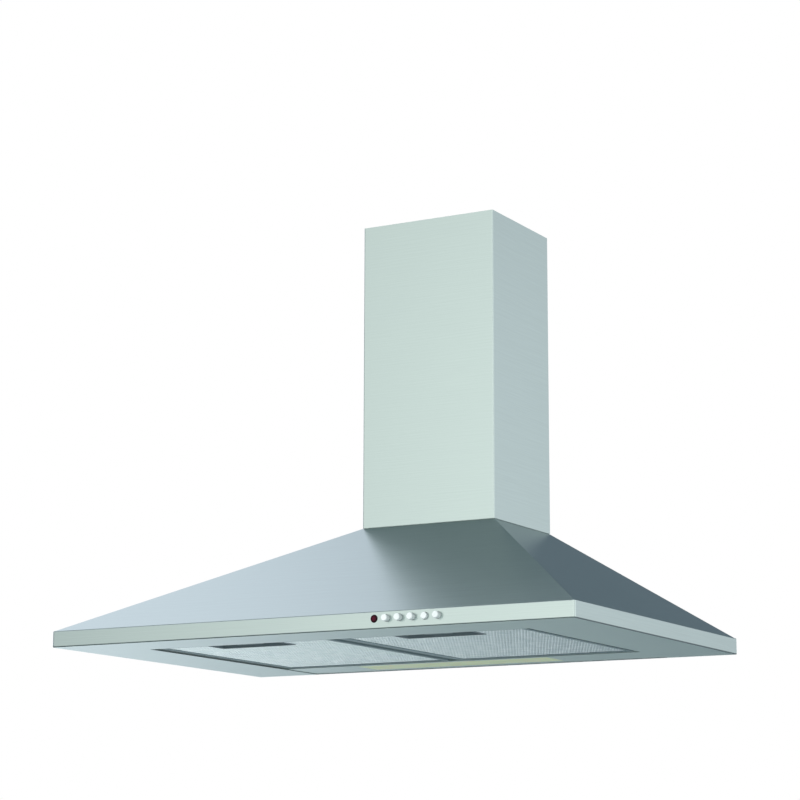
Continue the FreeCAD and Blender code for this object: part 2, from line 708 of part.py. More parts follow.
def scroll_face(offset, x, top):
    """The scroll's outline: a spiral from the cut-off round to the outlet, then the upright outlet."""
    points = []
    for i in range(SCROLL_SPANS + 1):
        share = i / SCROLL_SPANS
        turn = math.radians(CUTOFF_DEG + (OUTLET_DEG - CUTOFF_DEG) * share)
        radius = SCROLL_R + SCROLL_GROWTH * share + offset
        points.append(Vector(x, FAN_Y - radius * math.sin(turn), FAN_Z + radius * math.cos(turn)))
    mouth = [Vector(x, OUTLET_BACK + offset, top), Vector(x, OUTLET_FRONT - offset, top)]
    corners = points[-1:] + mouth + points[:1]
    sides = [Part.makeLine(a, b) for a, b in zip(corners, corners[1:])]
    return Part.Face(Part.Wire(arcs_through(points) + sides))


def seam_centers():
    centers = []
    for degrees in SEAM_DEGS:
        share = (degrees - CUTOFF_DEG) / (OUTLET_DEG - CUTOFF_DEG)
        radius = SCROLL_R + SCROLL_GROWTH * share + MOULDED + SCREW_HEAD_R + GAP
        turn = math.radians(degrees)
        centers.append(Vector(0, FAN_Y - radius * math.sin(turn), FAN_Z + radius * math.cos(turn)))
    return centers


def outlet_bolts():
    return [Vector(side * BOLT_X, y, DECK_TOP + COLLAR_BASE_T) for side in (-1, 1) for y in BOLT_YS]


OUTLET_BOLT_L = COLLAR_BASE_T + PLATE + OUTLET_FLANGE_T


def mount_centers(x):
    centers = []
    for degrees in MOUNT_DEGS:
        turn = math.radians(degrees)
        centers.append(Vector(x, FAN_Y - MOUNT_REACH * math.sin(turn), FAN_Z + MOUNT_REACH * math.cos(turn)))
    return centers


def scroll_half(side):
    """One moulded half of the blower housing, from its seam at the middle to its inlet."""
    outward = ALONG_X * side
    axis = Vector(0, FAN_Y, FAN_Z)
    shell = scroll_face(MOULDED, 0, DECK_Z).extrude(outward * SCROLL_OUT)
    flange_ys = (OUTLET_FRONT - MOULDED - OUTLET_FLANGE, OUTLET_BACK + MOULDED + OUTLET_FLANGE)
    flange = box((0, side * (SCROLL_OUT + OUTLET_FLANGE)), flange_ys, (DECK_Z - OUTLET_FLANGE_T, DECK_Z))
    bosses = [rod(SEAM_BOSS_R, center, center + outward * SEAM_BOSS_L) for center in seam_centers()]
    shell = shell.fuse([flange] + bosses)
    hollow = scroll_face(0, -side * OVER, DECK_Z + OVER).extrude(outward * (SCROLL_IN + OVER))
    inlet = rod(INLET_R, axis + outward * (SCROLL_IN - OVER), axis + outward * (SCROLL_OUT + OVER))
    shell = shell.cut([hollow, inlet])
    lip_start = axis + outward * (SCROLL_IN - INLET_LIP)
    shell = shell.fuse(tube(INLET_R + MOULDED, INLET_R, lip_start, axis + outward * SCROLL_OUT))
    holes = [screw_hole(center + outward * SEAM_BOSS_L, -outward, SEAM_BOSS_L) for center in seam_centers()]
    holes += [screw_hole(seat, -ALONG_Z, OUTLET_BOLT_L) for seat in outlet_bolts() if seat.x * side > 0]
    if side < 0:
        holes += [screw_hole(seat, ALONG_X, MOULDED) for seat in mount_centers(-SCROLL_OUT)]
    return shell.cut(holes).removeSplitter()


def blower_deck():
    """A cap that stands in the neck and carries the blower under it and the collar on it."""
    foot = SHOULDER + DECK_OVERLAP
    ys = (DECK_FRONT, DECK_BACK)
    rear_foot = DECK_Z - DECK_REAR_SKIRT
    through = (DECK_Z - OVER, DECK_TOP + OVER)
    wire = [Vector(GROMMET_X, GROMMET_Y, z) for z in through]
    deck = box(around(0, DECK_X), ys, (foot, DECK_TOP))
    deck = deck.cut([
        box(around(0, DECK_X - PLATE), grown(ys, -PLATE), (foot - OVER, DECK_Z)),
        box(around(0, DECK_X + OVER), (ys[1] - PLATE, ys[1] + OVER), (foot - OVER, rear_foot)),
        box(around(0, SCROLL_IN), (OUTLET_FRONT, OUTLET_BACK), through),
        rod(GROMMET_R - GROMMET_WAIST + HOLE_PLAY, wire[0], wire[1]),
    ])
    holes = [screw_hole(seat, way, DECK_SCREW_L) for seat, way in deck_screw_seats()]
    holes += [screw_hole(seat, -ALONG_Z, OUTLET_BOLT_L) for seat in outlet_bolts()]
    return deck.cut(holes)


def cable_grommet():
    center = Vector(GROMMET_X, GROMMET_Y, 0)
    low, high = DECK_Z - GROMMET_LIP, DECK_TOP + GROMMET_LIP
    at = [center + ALONG_Z * z for z in (low, DECK_Z, DECK_TOP, high)]
    waist = rod(GROMMET_R - GROMMET_WAIST, at[1], at[2])
    ring = join([rod(GROMMET_R, at[0], at[1]), waist, rod(GROMMET_R, at[2], at[3])])
    return ring.cut(rod(GROMMET_BORE_R, at[0] - ALONG_Z * OVER, at[3] + ALONG_Z * OVER))


def outlet_collar():
    """A square base with a round spigot for the duct, and a ledge inside on which the flaps rest."""
    center = Vector(0, COLLAR_Y, 0)
    low, base_top = DECK_TOP, DECK_TOP + COLLAR_BASE_T
    base_ys = (BOLT_YS[0] - OUTLET_FLANGE, BOLT_YS[1] + OUTLET_FLANGE / 2)
    base = box((-COLLAR_BASE_HALF, COLLAR_BASE_HALF), base_ys, (low, base_top))
    corners = edges_where(base, lambda c: abs(c.z - (low + base_top) / 2) < GAP)
    base = base.makeFillet(OUTLET_FLANGE / 2, corners)
    spigot = rod(DUCT_R, center + ALONG_Z * low, center + ALONG_Z * (low + COLLAR_H))
    bore = rod(COLLAR_BORE, center + ALONG_Z * (low - OVER), center + ALONG_Z * (low + COLLAR_H + OVER))
    ledge_top = PIN_Z - FLAP_DROP - GAP
    ledge_ends = [center + ALONG_Z * z for z in (ledge_top - STOP_T, ledge_top)]
    ledge = tube(COLLAR_BORE + COLLAR_WALL / 2, COLLAR_BORE - STOP_W, ledge_ends[0], ledge_ends[1])
    collar = base.fuse(spigot).cut(bore).fuse(ledge)
    holes = [screw_hole(seat, -ALONG_Z, OUTLET_BOLT_L) for seat in outlet_bolts()]
    holes.append(rod(PIN_R, Vector(-DUCT_R - OVER, COLLAR_Y, PIN_Z), Vector(DUCT_R + OVER, COLLAR_Y, PIN_Z)))
    return collar.cut(holes).removeSplitter()


def damper_pin():
    reach = DUCT_R - COLLAR_WALL / 4
    return rod(PIN_R, Vector(-reach, COLLAR_Y, PIN_Z), Vector(reach, COLLAR_Y, PIN_Z))


def damper_flap(side):
    """Half a disc with two knuckles on the pin; the two flaps' knuckles stand in turn along it."""
    low, high = PIN_Z - FLAP_DROP, PIN_Z - FLAP_DROP + FLAP_T
    center = Vector(0, COLLAR_Y, 0)
    edge = COLLAR_Y + side * (KNUCKLE_R + GAP)
    disc = rod(FLAP_R, center + ALONG_Z * low, center + ALONG_Z * high)
    half = disc.common(box((-DUCT_R, DUCT_R), (edge, COLLAR_Y + side * DUCT_R), (low, high)))
    pieces = [half]
    for i in range(2):
        start = KNUCKLE_STEP * i - KNUCKLE_FIRST
        if side > 0:
            start = -start - KNUCKLE_L
        ends = (start, start + KNUCKLE_L)
        pieces.append(rod(KNUCKLE_R, Vector(ends[0], COLLAR_Y, PIN_Z), Vector(ends[1], COLLAR_Y, PIN_Z)))
        pieces.append(box(ends, (COLLAR_Y, edge + side * GAP), (low, high)))
    flap = join(pieces)
    return flap.cut(rod(PIN_R + RUNNING, Vector(-DUCT_R, COLLAR_Y, PIN_Z), Vector(DUCT_R, COLLAR_Y, PIN_Z)))


def fan_axis(x):
    return Vector(x, FAN_Y, FAN_Z)


def impeller():
    """A drum of forward curved blades between two end rings, on a middle disc with a hub."""
    half = FAN_W / 2
    root = FAN_R - BLADE_DEPTH
    edges = []
    for offset in (-BLADE_T / 2, BLADE_T / 2):
        bend = [Vector(-half, root, offset), Vector(-half, root + BLADE_DEPTH / 2, offset - BLADE_BOW),
                Vector(-half, FAN_R - BLADE_T, offset + BLADE_LEAD)]
        edges.append((Part.Arc(*bend).toShape(), bend[0], bend[2]))
    (back_edge, back_root, back_tip), (front_edge, front_root, front_tip) = edges
    tip, heel = Part.makeLine(back_tip, front_tip), Part.makeLine(front_root, back_root)
    outline = Part.Wire(Part.sortEdges([back_edge, tip, front_edge, heel])[0])
    blade = Part.Face(outline).extrude(ALONG_X * FAN_W)
    pieces = []
    for i in range(BLADE_COUNT):
        turned_blade = blade.copy()
        turned_blade.rotate(Vector(), ALONG_X, 360 * i / BLADE_COUNT)
        turned_blade.translate(fan_axis(0))
        pieces.append(turned_blade)
    for x in (-half, half - FAN_RING):
        pieces.append(tube(FAN_R, FAN_R - FAN_RING_DEPTH, fan_axis(x), fan_axis(x + FAN_RING)))
    disc = rod(FAN_R - BLADE_DEPTH / 2, fan_axis(-FAN_DISC / 2), fan_axis(FAN_DISC / 2))
    hub = rod(HUB_R, fan_axis(-HUB_BACK), fan_axis(HUB_FRONT))
    drum = join([disc, hub] + pieces)
    return drum.cut(rod(SHAFT_R + RUNNING, fan_axis(-HUB_BACK - OVER), fan_axis(HUB_FRONT + OVER)))


def motor_shaft():
    end = HUB_FRONT + NUT_T + NUT_END
    shoulder = rod(SHAFT_SHOULDER_R, fan_axis(-HUB_BACK - SHAFT_SHOULDER), fan_axis(-HUB_BACK))
    return join([rod(SHAFT_R, fan_axis(MOTOR_TAIL_X - SHAFT_TAIL), fan_axis(end)), shoulder])


def impeller_nut():
    nut = hexagon(NUT_FLATS, fan_axis(HUB_FRONT), ALONG_X * NUT_T)
    return nut.cut(rod(SHAFT_R + RUNNING, fan_axis(HUB_FRONT - OVER), fan_axis(HUB_FRONT + NUT_T + OVER)))


def motor_body():
    tail, face = MOTOR_TAIL_X, MOTOR_FACE_X
    body = join([
        rod(MOTOR_R, fan_axis(tail + MOTOR_CAP), fan_axis(face - MOTOR_CAP)),
        rod(MOTOR_CAP_R, fan_axis(tail), fan_axis(face)),
    ])
    return body.cut([
        rod(SHAFT_R + GAP, fan_axis(tail - OVER), fan_axis(face + OVER)),
        rod(BEARING_R + RUNNING, fan_axis(tail - OVER), fan_axis(tail + BEARING_W)),
        rod(BEARING_R + RUNNING, fan_axis(face - BEARING_W), fan_axis(face + OVER)),
    ])


def motor_bearings():
    starts = (MOTOR_TAIL_X, MOTOR_FACE_X - BEARING_W)
    return [tube(BEARING_R, SHAFT_R + RUNNING, fan_axis(x), fan_axis(x + BEARING_W)) for x in starts]


def motor_mount():
    """A ring round the motor with three arms, whose feet stand on the blower housing's side."""
    outer = MOTOR_R + MOUNT_RING
    ring = rod(outer, fan_axis(MOUNT_X), fan_axis(MOUNT_X + MOUNT_RING_T))
    foot_end = -SCROLL_OUT - RUBBER_T
    pieces = [ring]
    for degrees, foot in zip(MOUNT_DEGS, mount_centers(MOUNT_X)):
        arm = box((MOUNT_X, MOUNT_X + MOUNT_RING_T), around(0, MOUNT_ARM_W / 2), (MOTOR_R, MOUNT_REACH))
        arm.rotate(Vector(), ALONG_X, degrees)
        arm.translate(fan_axis(0))
        pieces.append(arm)
        pieces.append(rod(MOUNT_FOOT_R, foot, Vector(foot_end, foot.y, foot.z)))
    mount = join(pieces)
    cuts = [rod(MOTOR_R + RUNNING, fan_axis(MOUNT_X - OVER), fan_axis(MOUNT_X + MOUNT_RING_T + OVER))]
    cuts += [screw_hole(foot, ALONG_X, foot_end - MOUNT_X) for foot in mount_centers(MOUNT_X)]
    return mount.cut(cuts)


def motor_grommets():
    bore = SCREW_R + HOLE_PLAY
    seats = mount_centers(-SCROLL_OUT)
    return [tube(RUBBER_R, bore, seat - ALONG_X * RUBBER_T, seat) for seat in seats]


def motor_screws():
    length = -SCROLL_OUT - MOUNT_X + MOULDED
    return [screw(foot, ALONG_X, length) for foot in mount_centers(MOUNT_X)]


def capacitor():
    ends = [Vector(x, capacitor_y(), CAP_Z) for x in around(CAP_X, CAP_L / 2)]
    can = rod(CAP_R, ends[0], ends[1])
    return can.makeChamfer(CLIP_T, edges_where(can, lambda c: abs(c.x - CAP_X) > CAP_L / 4))


def capacitor_y():
    return PANEL_FRONT - CLIP_T - RUNNING - CAP_R


def capacitor_clip():
    ends = (CAP_X - CLIP_W / 2, CAP_X + CLIP_W / 2)
    center = [Vector(x, capacitor_y(), CAP_Z) for x in ends]
    band = rod(CAP_R + RUNNING + CLIP_T, center[0], center[1])
    foot = box(ends, (PANEL_FRONT - CLIP_T, PANEL_FRONT), (CAP_Z - CLIP_FOOT, CAP_Z + CLIP_FOOT))
    clip = join([band, foot])
    overrun = ALONG_X * OVER
    return clip.cut(rod(CAP_R + RUNNING, center[0] - overrun, center[1] + overrun))


def terminal_span():
    ys = (PANEL_FRONT - TERM_D, PANEL_FRONT)
    return around(TERM_X, TERM_W / 2), ys, around(TERM_Z, TERM_H / 2)


def terminal_box():
    xs, ys, zs = terminal_span()
    case = box(xs, ys, zs)
    case = case.makeFillet(MOULDED, edges_where(case, lambda c: abs(c.y - (ys[0] + ys[1]) / 2) < GAP))
    return case.cut(box(grown(xs, -MOULDED), (ys[0] - OVER, ys[1] - MOULDED), grown(zs, -MOULDED)))


def terminal_box_cover():
    """A lid with a rim that fits inside the terminal box."""
    xs, ys, zs = terminal_span()
    lid = box(xs, (ys[0] - COVER_T, ys[0]), zs)
    lid = lid.makeFillet(MOULDED, edges_where(lid, lambda c: abs(c.y - ys[0] + COVER_T / 2) < GAP))
    inner_xs, inner_zs = grown(xs, -MOULDED - GAP), grown(zs, -MOULDED - GAP)
    rim_ys = (ys[0], ys[0] + MOULDED)
    rim = box(inner_xs, rim_ys, inner_zs)
    rim = rim.cut(box(grown(inner_xs, -MOULDED), grown(rim_ys, OVER), grown(inner_zs, -MOULDED)))
    return join([lid, rim])


def terminal_block():
    back = PANEL_FRONT - MOULDED
    front = back - BLOCK_D
    block = box(around(TERM_X, BLOCK_W / 2), (front, back), around(TERM_Z, BLOCK_H / 2))
    pitch = BLOCK_W / BLOCK_POLES
    wells = []
    for i in range(BLOCK_POLES):
        x = TERM_X + (i - (BLOCK_POLES - 1) / 2) * pitch
        wells.append(rod(POLE_R, Vector(x, front - OVER, TERM_Z), Vector(x, front + POLE_DEPTH, TERM_Z)))
    return block.cut(wells)


def switch_ears():
    xs = (PILOT_X - SWITCH_END, BUTTON_XS[-1] + SWITCH_END)
    y = SWITCH_FRONT + SWITCH_D / 2
    return [(Vector(x + side * EAR_W / 2, y, SHEET), side, x) for side, x in zip((-1, 1), xs)]


def switch_housing():
    """A moulded switch block on the front flange, with a square guide for each button's stem."""
    xs = (PILOT_X - SWITCH_END, BUTTON_XS[-1] + SWITCH_END)
    ys = (SWITCH_FRONT, SWITCH_FRONT + SWITCH_D)
    body = box(xs, ys, (SHEET, SHEET + SWITCH_H))
    ears = []
    for stud, side, start in switch_ears():
        ear_xs = (start, start + side * EAR_W)
        ears.append(box(ear_xs, around(stud.y, EAR_D / 2), (SHEET, SHEET + EAR_T)))
    housing = join([body] + ears)
    reach = STEM_W / 2 + STEM_PLAY
    depth = STEM_L - SWITCH_SETBACK + STEM_RUN
    guide_ys = (ys[0] - OVER, ys[0] + depth)
    cuts = [box(around(x, reach), guide_ys, around(CONTROL_Z, reach)) for x in BUTTON_XS]
    cuts += [screw_hole(stud, ALONG_Z, EAR_T) for stud, side, start in switch_ears()]
    return housing.cut(cuts)


def switch_studs():
    """Studs on the inside of the front flange, each with its nut."""
    studs = []
    for stud, side, start in switch_ears():
        nut = hexagon(HEX_FLATS, stud + ALONG_Z * EAR_T, ALONG_Z * HEX_T)
        studs.append(rod(SCREW_R, stud, stud + ALONG_Z * STUD_L).fuse(nut))
    return studs


def pilot_lens():
    """A domed red lens that stands a little out of the rim and reaches back to the switch housing."""
    ends = [Vector(PILOT_X, y, CONTROL_Z) for y in (-DEPTH - PILOT_DOME, SWITCH_FRONT)]
    lens = rod(PILOT_R, ends[0], ends[1])
    return lens.makeFillet(PILOT_DOME, edges_where(lens, lambda c: c.y < -DEPTH))


def button(x, shift):
    """A round cap in the rim, a collar behind the sheet that keeps it in, and a square stem."""
    collar_front = RIM_INSIDE + GAP + shift
    collar_back = collar_front + BUTTON_COLLAR
    at = [Vector(x, y, CONTROL_Z) for y in (-DEPTH - BUTTON_OUT + shift, collar_front, collar_back)]
    cap = rod(BUTTON_R, at[0], at[2])
    cap = cap.makeFillet(BUTTON_EDGE, edges_where(cap, lambda c: c.y < -DEPTH))
    collar = rod(BUTTON_COLLAR_R, at[1], at[2])
    half = STEM_W / 2
    stem = box(around(x, half), (collar_front, collar_back + STEM_L), around(CONTROL_Z, half))
    return join([cap, collar, stem])


def lamp_lens():
    xs, ys = around(LENS_X, LENS_L / 2), around(LENS_Y, LENS_W / 2)
    face = box(xs, ys, (REAR_PANEL_Z, LENS_TOP))
    rim = box(grown(xs, LENS_RIM), grown(ys, LENS_RIM), (LENS_TOP, LENS_TOP + LENS_RIM_T))
    return join([face, rim])


def light_box_seats():
    x = LIGHT_BOX_X + LIGHT_BOX_FOOT / 2
    return [Vector(LENS_X + side * x, LENS_Y, LENS_TOP + PLATE) for side in (-1, 1)]


def light_box():
    """A tray over the lens, with a foot at each end on the rear light panel."""
    xs = (LENS_X - LIGHT_BOX_X, LENS_X + LIGHT_BOX_X)
    ys = (LENS_Y - LIGHT_BOX_Y, LENS_Y + LIGHT_BOX_Y)
    zs = (LENS_TOP, LENS_TOP + LIGHT_BOX_H)
    tray = box(xs, ys, zs)
    feet = [box(grown(xs, LIGHT_BOX_FOOT), ys, (zs[0], zs[0] + PLATE))]
    tray = tray.fuse(feet)
    tray = tray.cut(box(grown(xs, -PLATE), grown(ys, -PLATE), (zs[0] - OVER, zs[1] - PLATE)))
    return tray.cut([screw_hole(seat, -ALONG_Z, PLATE) for seat in light_box_seats()]).removeSplitter()


def lamp_socket(side):
    """A lamp holder on an end wall of the light box, open towards the middle."""
    wall = LENS_X + side * (LIGHT_BOX_X - PLATE)
    inward = Vector(-side, 0, 0)
    base = Vector(wall, LENS_Y, LAMP_Z)
    mouth = base + inward * SOCKET_L
    flange = rod(SOCKET_FLANGE_R, base, base + inward * SOCKET_FLANGE)
    holder = join([flange, rod(SOCKET_R, base, mouth)])
    return holder.cut(rod(LAMP_BASE_R + GAP, mouth - inward * (LAMP_BASE_L + GAP), mouth + inward * OVER))


def lamp_outline(middle, radius, turn):
    """A point of the lamp's profile, on a ball round its axis, turned up from the ball's level."""
    return Vector(radius * math.cos(turn), 0, middle + radius * math.sin(turn))


def lamp_bulb(side):
    """A candle lamp: a straight base in the socket, then a glass ball that tapers to a round tip."""
    wall = LENS_X + side * (LIGHT_BOX_X - PLATE)
    inward = Vector(-side, 0, 0)
    mouth = Vector(wall, LENS_Y, LAMP_Z) + inward * SOCKET_L
    neck = math.atan2(LAMP_BASE_R, LAMP_BALL) + math.acos(LAMP_R / math.hypot(LAMP_BASE_R, LAMP_BALL))
    tip = LAMP_L - LAMP_TIP_R
    taper = math.asin((LAMP_R - LAMP_TIP_R) / (tip - LAMP_BALL))
    upright = math.pi / 2
    ball = [lamp_outline(LAMP_BALL, LAMP_R, turn) for turn in (neck - upright, 0, taper)]
    end = [lamp_outline(tip, LAMP_TIP_R, turn) for turn in (taper, (taper + upright) / 2, upright)]
    base = [Vector(0, 0, -LAMP_BASE_L), Vector(LAMP_BASE_R, 0, -LAMP_BASE_L), Vector(LAMP_BASE_R, 0, 0)]
    corners = end[2:] + base + ball[:1]
    edges = arcs_through(ball) + arcs_through(end) + [Part.makeLine(ball[2], end[0])]
    edges += [Part.makeLine(a, b) for a, b in zip(corners, corners[1:])]
    return turned(edges, mouth, inward)


def chimney_cover(half, front, back, zs):
    """A U-shaped cover with a narrow return flange along each rear edge."""
    cover = box(around(0, half), (-front, back), zs)
    bends = edges_where(cover, lambda c: c.y < -front / 2 and abs(c.z - sum(zs) / 2) < GAP)
    cover = cover.makeFillet(CHIMNEY_BEND, bends)
    inside = box(around(0, half - SHEET), (SHEET - front, back - SHEET), grown(zs, OVER))
    window = box(around(0, half - SHEET - RETURN), (back - SHEET - OVER, back + OVER), grown(zs, OVER))
    return cover.cut([inside, window])


def chimney_upper():
    cover = chimney_cover(UPPER_X, UPPER_Y, UPPER_BACK, (UPPER_BOTTOM, UPPER_TOP))
    middle = (UPPER_BACK - UPPER_Y) / 2
    vents = []
    for i in range(VENT_COUNT):
        z = UPPER_TOP - VENT_FROM_TOP - VENT_PITCH * i
        slot = box(around(0, UPPER_X + OVER), around(middle, VENT_W / 2), (z - VENT_H, z))
        vents.append(slot.makeFillet(VENT_H / 2 - RUNNING, edges_where(slot, lambda c: abs(c.x) < GAP)))
    holes = [screw_hole(seat, way, BRACKET_SCREW_L) for seat, way in bracket_screw_seats()]
    return cover.cut(vents + holes)


BRACKET_SCREW_L = BRACKET_PLATE + GAP + SHEET


def bracket_z():
    return UPPER_TOP - BRACKET_FROM_TOP - BRACKET_H / 2


def bracket_screw_seats():
    inside = UPPER_X - SHEET - GAP - BRACKET_PLATE
    y = UPPER_BACK - SHEET - GAP - BRACKET_WING / 2
    return [(Vector(side * inside, y, bracket_z()), ALONG_X * side) for side in (-1, 1)]


def chimney_wall_bracket():
    """A strip on the wall, joggled in front of the cover's return flanges, with two forward wings."""
    wall = BRACKET_WALL_HALF
    wing = UPPER_X - SHEET - GAP
    step = UPPER_BACK - SHEET - GAP
    plate = BRACKET_PLATE
    tip = step - BRACKET_WING
    half = [(wall, 0), (wall + plate - step, step), (wing, step), (wing, tip), (wing - plate, tip),
            (wing - plate, step - plate), (wall - step, step - plate), (wall - plate, -plate)]
    low = bracket_z() - BRACKET_H / 2
    left = [Vector(-x, y, low) for x, y in half]
    right = [Vector(x, y, low) for x, y in reversed(half)]
    strip = prism(left + right, ALONG_Z * BRACKET_H)
    holes = [screw_hole(seat, way, BRACKET_SCREW_L) for seat, way in bracket_screw_seats()]
    for x in around(0, BRACKET_SPACING / 2):
        ends = [Vector(x, y, bracket_z()) for y in (OVER, -plate - OVER)]
        holes.append(rod(BRACKET_HOLE_R, ends[0], ends[1]))
    return strip.cut(holes)


def main():
    os.makedirs("parts", exist_ok=True)
    export("canopy_rim", canopy_rim())
    export("canopy_shell", canopy_shell())
    export("back_panel", back_panel())
    export("rear_light_panel", rear_light_panel())
    export("panel_screws", *[screw(seat, way, PANEL_SCREW_L) for seat, way in lamp_panel_screw_seats()])
    export("filter_center_rail", filter_center_rail())
    export("blower_deck", blower_deck())
    export("deck_screws", *[screw(seat, way, DECK_SCREW_L) for seat, way in deck_screw_seats()])
    export("cable_grommet", cable_grommet())
    export("scroll_housing_left", scroll_half(-1))
    export("scroll_housing_right", scroll_half(1))
    seam_seats = [center + ALONG_X * SEAM_BOSS_L for center in seam_centers()]
    export("scroll_screws", *[screw(seat, -ALONG_X, SEAM_BOSS_L * 2) for seat in seam_seats])
    export("outlet_collar", outlet_collar())
    export("outlet_screws", *[screw(seat, -ALONG_Z, OUTLET_BOLT_L) for seat in outlet_bolts()])
    export("damper_pin", damper_pin())
    export("damper_flap_front", damper_flap(-1))
    export("damper_flap_rear", damper_flap(1))
    export("motor_body", motor_body())
    export("motor_bearings", *motor_bearings())
    export("motor_mount", motor_mount())
    export("motor_grommets", *motor_grommets())
    export("motor_screws", *motor_screws())
    export("motor_shaft", motor_shaft())
    export("impeller", impeller())
    export("impeller_nut", impeller_nut())
    export("capacitor", capacitor())
    export("capacitor_clip", capacitor_clip())
    export("terminal_box", terminal_box())
    export("terminal_box_cover", terminal_box_cover())
    export("terminal_block", terminal_block())
    export("switch_housing", switch_housing())
    export("switch_studs", *switch_studs())
    export("pilot_lens", pilot_lens())
    for name, x in zip(BUTTON_NAMES, BUTTON_XS):
        export("button_" + name, button(x, BUTTON_PRESSED if name == LATCHED_NAME else 0))
    export("lamp_lens", lamp_lens())
    export("light_box", light_box())
    export("light_box_screws", *[screw(seat, -ALONG_Z, PLATE + SHEET) for seat in light_box_seats()])
    for name, side in (("left", -1), ("right", 1)):
        export("lamp_socket_" + name, lamp_socket(side))
        export("lamp_bulb_" + name, lamp_bulb(side))
        export("filter_frame_" + name, filter_frame(side))
        export("filter_mesh_" + name, filter_mesh(side))
        export("filter_pad_" + name, filter_pad(side))
        export("filter_grip_" + name, filter_grip(side))
        export("filter_latch_" + name, filter_latch(side))
    export("chimney_lower", chimney_cover(TOP_X, TOP_Y, 0, (SHOULDER + SHADOW_GAP, TOP_Z)))
    export("chimney_upper", chimney_upper())
    export("chimney_wall_bracket", chimney_wall_bracket())
    export("bracket_screws", *[screw(seat, way, BRACKET_SCREW_L) for seat, way in bracket_screw_seats()])


main()
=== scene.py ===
import json
import math
import bpy
import numpy as np
from mathutils import Matrix, Vector


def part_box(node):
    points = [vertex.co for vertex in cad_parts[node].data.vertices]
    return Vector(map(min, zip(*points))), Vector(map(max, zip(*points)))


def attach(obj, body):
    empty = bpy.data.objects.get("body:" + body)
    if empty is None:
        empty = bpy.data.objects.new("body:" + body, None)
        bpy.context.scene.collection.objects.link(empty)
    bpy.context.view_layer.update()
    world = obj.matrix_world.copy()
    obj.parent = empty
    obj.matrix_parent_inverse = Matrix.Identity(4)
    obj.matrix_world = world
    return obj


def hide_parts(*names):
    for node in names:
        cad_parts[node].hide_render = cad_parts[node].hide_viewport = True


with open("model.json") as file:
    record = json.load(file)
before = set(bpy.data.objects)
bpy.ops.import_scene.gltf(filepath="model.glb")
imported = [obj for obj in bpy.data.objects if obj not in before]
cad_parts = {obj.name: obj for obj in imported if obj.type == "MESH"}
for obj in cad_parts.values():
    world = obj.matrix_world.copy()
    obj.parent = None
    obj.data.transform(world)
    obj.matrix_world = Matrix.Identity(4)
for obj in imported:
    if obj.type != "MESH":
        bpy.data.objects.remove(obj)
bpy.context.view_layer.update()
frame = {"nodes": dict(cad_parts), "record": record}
nodes = frame["nodes"]
mm = 0.001
print("frame loaded:", len(nodes), "nodes")


# small helpers for colours, nodes and meshes

def linear(hexColour):
    # sRGB hex to linear light, with alpha 1
    srgb = np.array([int(hexColour[i:i + 2], 16) for i in (1, 3, 5)]) / 255
    return (*np.where(srgb <= 0.04045, srgb / 12.92, ((srgb + 0.055) / 1.055) ** 2.4), 1)


def addNode(tree, kind, inputs=None, **settings):
    node = tree.nodes.new(kind)
    for name, value in settings.items():
        setattr(node, name, value)
    for name, value in (inputs or {}).items():
        if isinstance(value, bpy.types.NodeSocket):
            tree.links.new(value, node.inputs[name])
        else:
            node.inputs[name].default_value = value
    return node


def startMaterial(name, **sockets):
    # a material with one Principled shader, its constant sockets set by name
    material = bpy.data.materials.new(name)
    material.use_nodes = True
    shader = material.node_tree.nodes["Principled BSDF"]
    for socket, value in sockets.items():
        shader.inputs[socket].default_value = value
    return material, material.node_tree, shader


noiseSpan = (0.3, 0.7)


def spread(tree, value, low, high, fromLow=noiseSpan[0], fromHigh=noiseSpan[1]):
    # stretches the span from fromLow to fromHigh, by default the one where most noise lies, over low to high
    inputs = {"Value": value, "From Min": fromLow, "From Max": fromHigh, "To Min": low, "To Max": high}
    return addNode(tree, "ShaderNodeMapRange", inputs).outputs["Result"]


def blendColours(tree, factor, first, second):
    # a Mix node has its vectors at sockets 4 and 5 and output 1, and its colours at 6 and 7 and output 2
    inputs = {0: factor, 6: linear(first), 7: linear(second)}
    return addNode(tree, "ShaderNodeMix", inputs, data_type="RGBA").outputs[2]


def objectNoise(tree, sizeMm):
    # noise on object coordinates; sizeMm is the size of one blotch along x, y and z
    place = addNode(tree, "ShaderNodeTexCoord").outputs["Object"]
    scale = [1 / (size * mm) for size in sizeMm]
    scaled = addNode(tree, "ShaderNodeVectorMath", {0: place, 1: scale}, operation="MULTIPLY").outputs[0]
    return addNode(tree, "ShaderNodeTexNoise", {"Vector": scaled, "Scale": 1, "Detail": 2}).outputs["Fac"]


def addBump(tree, shader, height, depthMm):
    inputs = {"Height": height, "Distance": depthMm * mm, "Strength": 1}
    bump = addNode(tree, "ShaderNodeBump", inputs)
    tree.links.new(bump.outputs["Normal"], shader.inputs["Normal"])


def makePiece(name, points, faces, material, body, replaced):
    mesh = bpy.data.meshes.new(name)
    mesh.from_pydata(points.reshape(-1, 3).tolist(), [], faces.tolist())
    mesh.update()
    mesh.materials.append(material)
    piece = bpy.data.objects.new(name, mesh)
    bpy.context.scene.collection.objects.link(piece)
    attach(piece, body)
    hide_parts(replaced)
    return piece


# brushed stainless sheet: belt brushed along its length, so fine level lines catch the light
# and a reflection smears across them; low down on every steep face a painted shade darkens the steel

brush = {"dark": "#C8D5D0", "light": "#CFDCD7", "lineMm": 1.3, "lengthMm": 75, "roughness": (0.28, 0.33),
         "anisotropy": 0.3, "depthMm": 0.0015, "levelFace": 0.95, "paintedEdgeShade": "#707C7B", "paintedEdgeShadeMm": (0.9, 1.7)}


